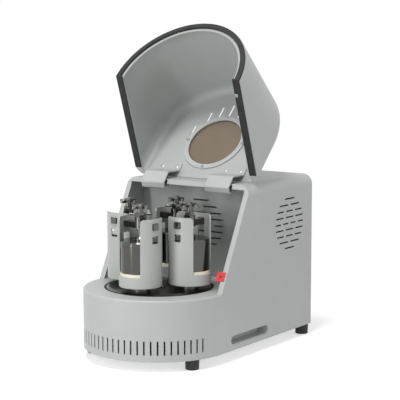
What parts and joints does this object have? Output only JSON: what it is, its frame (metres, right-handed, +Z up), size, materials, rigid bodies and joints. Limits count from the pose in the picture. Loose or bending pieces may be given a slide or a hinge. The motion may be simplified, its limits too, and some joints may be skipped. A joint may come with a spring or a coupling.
{
  "type": "planetary ball mill",
  "caption": "Bench-top planetary ball mill with a round-nosed casing, a hinged lid with a tinted window, and clamped steel jars on a geared turntable.",
  "frame": {"origin": "on the floor, at the middle of the casing's footprint, midway between its sides and between nose and rear", "axes": "+Z up, -Y towards the operator at the round nose, +X to the operator's right"},
  "size_m": [0.3, 0.493, 0.656],
  "materials": {
    "casing_paint": "satin powder coat, light warm grey",
    "black_rubber": "matt",
    "seal_rubber": "matt",
    "steel_plate": "zinc plated",
    "disc_steel": "turned, bevel polished",
    "jar_steel": "mirror polished stainless steel",
    "holder_paint": "satin powder coat",
    "chrome_parts": "polished",
    "cast_housing": "painted casting",
    "gear_steel": "ground",
    "motor_paint": "painted",
    "belt_rubber": "matt",
    "black_plastic": "fine texture",
    "bezel_paint": "satin",
    "window_acrylic": "bronze tinted acrylic",
    "switch_red": "moulded",
    "hinge_paint": "satin powder coat",
    "plunger_plastic": "moulded"
  },
  "bodies": {
    "housing": {"base_plate": "steel_plate", "housing_shell": "casing_paint", "chamber_wall": "casing_paint", "rear_panel": "casing_paint", "handle_cups": "casing_paint", "rubber_feet": "black_rubber", "well_ring": "black_rubber", "spindle_housing": "cast_housing", "spindle_bearings": "gear_steel", "sun_gear": "gear_steel", "drive_motor": "motor_paint", "drive_belt": "belt_rubber", "hinge_brackets": "steel_plate", "interlock_switch": "switch_red", "control_panel": "black_plastic", "power_inlet": "black_plastic"},
    "turntable": {"main_spindle": "gear_steel", "driven_pulley": "cast_housing", "turntable_disc": "disc_steel"},
    "motor_rotor": {"motor_pulley": "cast_housing"},
    "lid": {"lid_shell": "casing_paint", "lid_seal": "seal_rubber", "window_bezel": "bezel_paint", "window_pane": "window_acrylic", "hinge_straps": "hinge_paint"},
    "switch_plunger": {"interlock_plunger": "plunger_plastic"},
    "dial": {"speed_dial": "black_plastic"},
    "rocker": {"power_rocker": "black_plastic"},
    "station_1": {"planet_gear_1": "gear_steel", "jar_holder_1": "holder_paint", "jar_body_1": "jar_steel", "jar_lid_1": "jar_steel", "clamp_bar_1": "chrome_parts"},
    "pad_1": {"clamp_pad_1": "chrome_parts"},
    "screw_1": {"clamp_screw_1": "chrome_parts"},
    "nut_1": {"lock_nut_1": "chrome_parts"},
    "station_2": {"planet_gear_2": "gear_steel", "jar_holder_2": "holder_paint", "jar_body_2": "jar_steel", "jar_lid_2": "jar_steel", "clamp_bar_2": "chrome_parts"},
    "pad_2": {"clamp_pad_2": "chrome_parts"},
    "screw_2": {"clamp_screw_2": "chrome_parts"},
    "nut_2": {"lock_nut_2": "chrome_parts"},
    "station_3": {"planet_gear_3": "gear_steel", "jar_holder_3": "holder_paint", "jar_body_3": "jar_steel", "jar_lid_3": "jar_steel", "clamp_bar_3": "chrome_parts"},
    "pad_3": {"clamp_pad_3": "chrome_parts"},
    "screw_3": {"clamp_screw_3": "chrome_parts"},
    "nut_3": {"lock_nut_3": "chrome_parts"},
    "station_4": {"planet_gear_4": "gear_steel", "jar_holder_4": "holder_paint", "jar_body_4": "jar_steel", "jar_lid_4": "jar_steel", "clamp_bar_4": "chrome_parts"},
    "pad_4": {"clamp_pad_4": "chrome_parts"},
    "screw_4": {"clamp_screw_4": "chrome_parts"},
    "nut_4": {"lock_nut_4": "chrome_parts"}
  },
  "joints": [
    {"name": "lid_hinge", "type": "hinge", "parent": "housing", "child": "lid", "pos_m": [0, 0.0185, 0.3328], "axis": [1, 0, 0], "range_deg": [0, 134.5]},
    {"name": "turntable_spin", "type": "hinge", "parent": "housing", "child": "turntable", "pos_m": [0, -0.0965, 0.1], "axis": [0, 0, 1], "continuous": true},
    {"name": "motor_spin", "type": "hinge", "parent": "housing", "child": "motor_rotor", "pos_m": [0, 0.1185, 0.04], "axis": [0, 0, 1], "continuous": true},
    {"name": "plunger_press", "type": "slide", "parent": "housing", "child": "switch_plunger", "axis": [0, 0.8913, -0.4535], "range_m": [0, 0.0015], "stiffness_N_per_m": 300},
    {"name": "dial_turn", "type": "hinge", "parent": "housing", "child": "dial", "pos_m": [-0.143, 0.10154, 0.101], "axis": [1, 0, 0], "range_deg": [0, 300]},
    {"name": "rocker_tilt", "type": "hinge", "parent": "housing", "child": "rocker", "pos_m": [0.0785, 0.243, 0.062], "axis": [1, 0, 0], "range_deg": [0, 20]},
    {"name": "station_spin_1", "type": "hinge", "parent": "turntable", "child": "station_1", "pos_m": [0.06964, -0.08943, 0.15], "axis": [0, 0, 1], "continuous": true},
    {"name": "pad_lift_1", "type": "slide", "parent": "station_1", "child": "pad_1", "axis": [0, 0, 1], "range_m": [0, 0.006]},
    {"name": "screw_turn_1", "type": "hinge", "parent": "pad_1", "child": "screw_1", "pos_m": [0.06964, -0.08943, 0.28], "axis": [0, 0, 1], "range_deg": [0, 1081]},
    {"name": "nut_turn_1", "type": "hinge", "parent": "screw_1", "child": "nut_1", "pos_m": [0.06964, -0.08943, 0.29], "axis": [0, 0, 1], "range_deg": [0, 180]},
    {"name": "station_spin_2", "type": "hinge", "parent": "turntable", "child": "station_2", "pos_m": [-0.00707, -0.02686, 0.15], "axis": [0, 0, 1], "continuous": true},
    {"name": "pad_lift_2", "type": "slide", "parent": "station_2", "child": "pad_2", "axis": [0, 0, 1], "range_m": [0, 0.006]},
    {"name": "screw_turn_2", "type": "hinge", "parent": "pad_2", "child": "screw_2", "pos_m": [-0.00707, -0.02686, 0.28], "axis": [0, 0, 1], "range_deg": [0, 1081]},
    {"name": "nut_turn_2", "type": "hinge", "parent": "screw_2", "child": "nut_2", "pos_m": [-0.00707, -0.02686, 0.29], "axis": [0, 0, 1], "range_deg": [0, 180]},
    {"name": "station_spin_3", "type": "hinge", "parent": "turntable", "child": "station_3", "pos_m": [-0.06964, -0.10357, 0.15], "axis": [0, 0, 1], "continuous": true},
    {"name": "pad_lift_3", "type": "slide", "parent": "station_3", "child": "pad_3", "axis": [0, 0, 1], "range_m": [0, 0.006]},
    {"name": "screw_turn_3", "type": "hinge", "parent": "pad_3", "child": "screw_3", "pos_m": [-0.06964, -0.10357, 0.28], "axis": [0, 0, 1], "range_deg": [0, 1081]},
    {"name": "nut_turn_3", "type": "hinge", "parent": "screw_3", "child": "nut_3", "pos_m": [-0.06964, -0.10357, 0.29], "axis": [0, 0, 1], "range_deg": [0, 180]},
    {"name": "station_spin_4", "type": "hinge", "parent": "turntable", "child": "station_4", "pos_m": [0.00707, -0.16614, 0.15], "axis": [0, 0, 1], "continuous": true},
    {"name": "pad_lift_4", "type": "slide", "parent": "station_4", "child": "pad_4", "axis": [0, 0, 1], "range_m": [0, 0.006]},
    {"name": "screw_turn_4", "type": "hinge", "parent": "pad_4", "child": "screw_4", "pos_m": [0.00707, -0.16614, 0.28], "axis": [0, 0, 1], "range_deg": [0, 1081]},
    {"name": "nut_turn_4", "type": "hinge", "parent": "screw_4", "child": "nut_4", "pos_m": [0.00707, -0.16614, 0.29], "axis": [0, 0, 1], "range_deg": [0, 180]}
  ],
  "couplings": [
    {"joint": "motor_spin", "follows": "turntable_spin", "ratio": 2.375},
    {"joint": "station_spin_1", "follows": "turntable_spin", "ratio": 1},
    {"joint": "screw_turn_1", "follows": "pad_lift_1", "rad_per_m": 3141.6},
    {"joint": "station_spin_2", "follows": "turntable_spin", "ratio": 1},
    {"joint": "screw_turn_2", "follows": "pad_lift_2", "rad_per_m": 3141.6},
    {"joint": "station_spin_3", "follows": "turntable_spin", "ratio": 1},
    {"joint": "screw_turn_3", "follows": "pad_lift_3", "rad_per_m": 3141.6},
    {"joint": "station_spin_4", "follows": "turntable_spin", "ratio": 1},
    {"joint": "screw_turn_4", "follows": "pad_lift_4", "rad_per_m": 3141.6}
  ]
}
